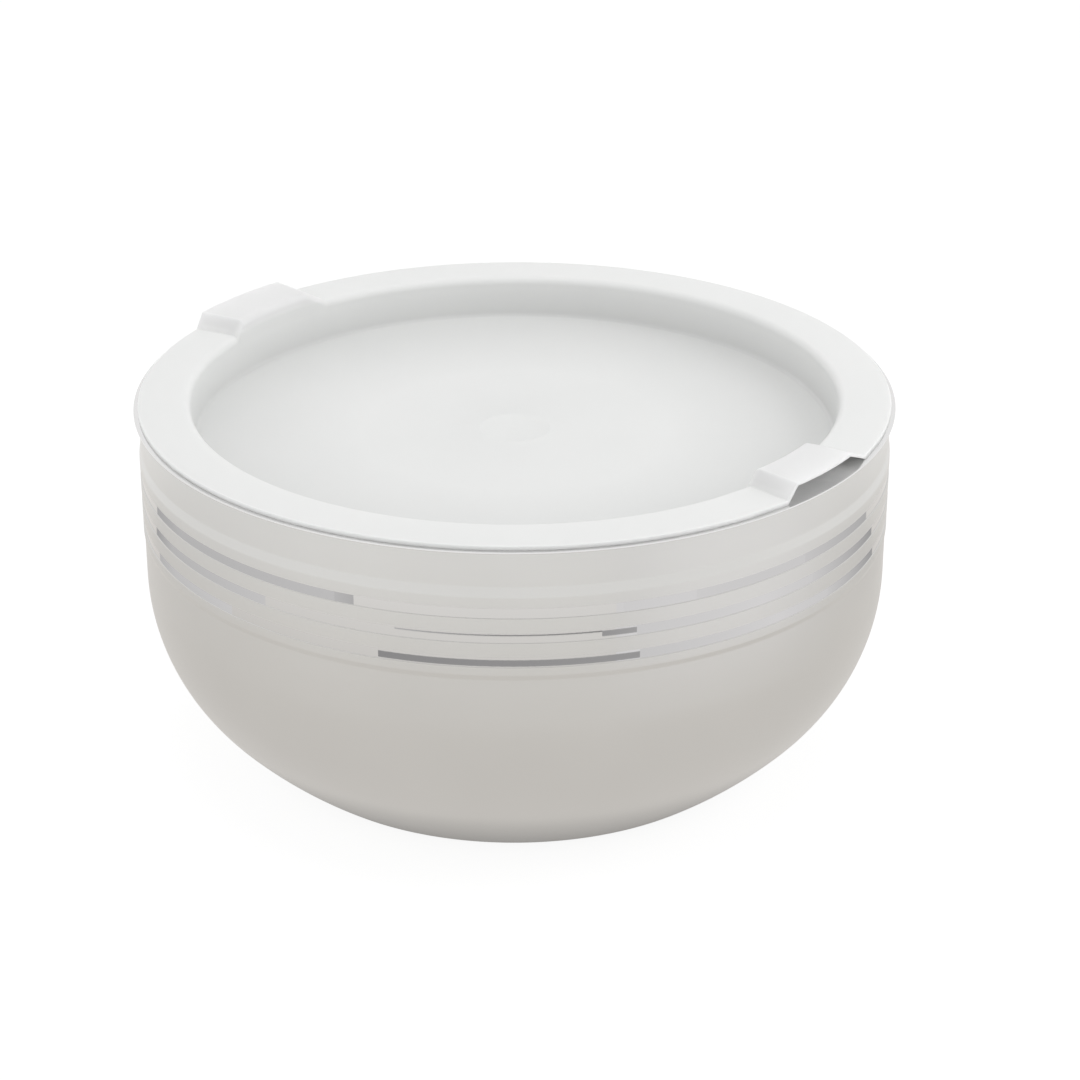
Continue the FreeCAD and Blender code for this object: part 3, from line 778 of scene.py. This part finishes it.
def seen_directly(tree):
    """1 for camera, glossy and transmission rays, else 0."""
    path = add_node(tree, "ShaderNodeLightPath")
    total = path.outputs["Is Camera Ray"]
    for word in ("Is Glossy Ray", "Is Transmission Ray"):
        total = combined(tree, "MAXIMUM", total, path.outputs[word])
    return total


def add_floor():
    """A pale floor that bounces light onto the object and is near white where it is seen."""
    mesh = bmesh.new()
    bmesh.ops.create_circle(mesh, cap_ends=True, segments=CIRCLE_SEGMENTS, radius=FLOOR_R)
    floor = finish_mesh("floor", mesh)
    floor.location.z = FLOOR_Z
    material = bpy.data.materials.new("floor_white")
    tree = bare_tree(material)
    matt = add_node(tree, "ShaderNodeBsdfDiffuse")
    matt.inputs["Color"].default_value = (FLOOR_MATT, FLOOR_MATT, FLOOR_MATT, 1)
    glow = add_node(tree, "ShaderNodeEmission")
    strength = map_range(tree, seen_directly(tree), (0, 1), (FLOOR_BOUNCE, FLOOR_SEEN))
    tree.links.new(strength, glow.inputs["Strength"])
    both = add_node(tree, "ShaderNodeAddShader")
    tree.links.new(matt.outputs["BSDF"], both.inputs[0])
    tree.links.new(glow.outputs["Emission"], both.inputs[1])
    output = add_node(tree, "ShaderNodeOutputMaterial")
    tree.links.new(both.outputs["Shader"], output.inputs["Surface"])
    floor.data.materials.append(material)


def add_world():
    world = bpy.data.worlds.new("studio")
    bpy.context.scene.world = world
    tree = bare_tree(world)
    background = add_node(tree, "ShaderNodeBackground")
    background.inputs["Color"].default_value = (1, 1, 1, 1)
    strength = map_range(tree, seen_directly(tree), (0, 1), (WORLD_LEVEL, WORLD_SEEN))
    tree.links.new(strength, background.inputs["Strength"])
    output = add_node(tree, "ShaderNodeOutputWorld")
    tree.links.new(background.outputs["Background"], output.inputs["Surface"])


def seen(right, away, up):
    """A place given from the camera's point of view."""
    angle = math.radians(VIEW)
    x = right * math.cos(angle) - away * math.sin(angle)
    y = right * math.sin(angle) + away * math.cos(angle)
    return Vector((x, y, up))


def add_softbox(name, place, size, watts):
    """A square lamp that faces the object and isn't seen in it."""
    data = bpy.data.lights.new(name, "AREA")
    data.shape = "RECTANGLE"
    data.size = size
    data.size_y = size
    data.energy = watts
    lamp = bpy.data.objects.new(name, data)
    bpy.context.scene.collection.objects.link(lamp)
    lamp.location = place
    lamp.rotation_euler = (-place).to_track_quat("-Z", "Y").to_euler()
    lamp.visible_glossy = False


camera = add_camera()

satin = steel(
    "satin_steel", ((0.62, 0.615, 0.598), (0.66, 0.655, 0.638)), rough=(0.285, 0.315), bump=0.000006
)
mirror = steel(
    "polished_steel", ((0.64, 0.637, 0.632), (0.67, 0.667, 0.662)), rough=(0.01, 0.02), bump=0.0
)
# The rim's steel is lighter than the body's steel: a painted highlight along the rim.
rim = steel(
    "rim_steel_painted_highlight", ((0.74, 0.738, 0.735), (0.78, 0.778, 0.775)), rough=(0.12, 0.18), bump=0.000002
)
lid_white = plastic(
    "lid_white", ((0.856, 0.864, 0.854), (0.88, 0.885, 0.875)),
    rough=(0.34, 0.42), bump=0.00002, grain=900.0,
)
# The lid's colour gets painted shade in the recess and painted light on the arches and at the edge.
paint_lid_shade_and_light(lid_white)
rubber = plastic(
    "foot_rubber", ((0.02, 0.02, 0.02), (0.035, 0.035, 0.035)),
    rough=(0.6, 0.75), bump=0.00005, grain=1500.0,
)
gel = plastic(
    "gel_blue", ((0.18, 0.42, 0.68), (0.25, 0.5, 0.75)),
    rough=(0.15, 0.25), bump=0.0001, grain=120.0,
)

shell = make_shell()
dress(shell, satin, mirror)
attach(shell, "bowl")
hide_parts("outer_shell")

liner = make_liner()
dress(liner, satin, rim)
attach(liner, "bowl")
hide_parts("inner_bowl")

lid = make_lid()
dress(lid, lid_white)
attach(lid, "lid")
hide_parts("lid", "finger_arch_front", "finger_arch_back")

dress(nodes["foot_ring"], rubber)
dress(nodes["fill_plug"], rubber)
dress(nodes["cooling_gel"], gel)
dress(nodes["base_plate"], satin)

bpy.context.scene.view_settings.view_transform = "Standard"
add_floor()
add_world()
for name, place, size, watts in LAMPS:
    add_softbox(name, seen(*place), size, watts)
add_cards(camera.location)
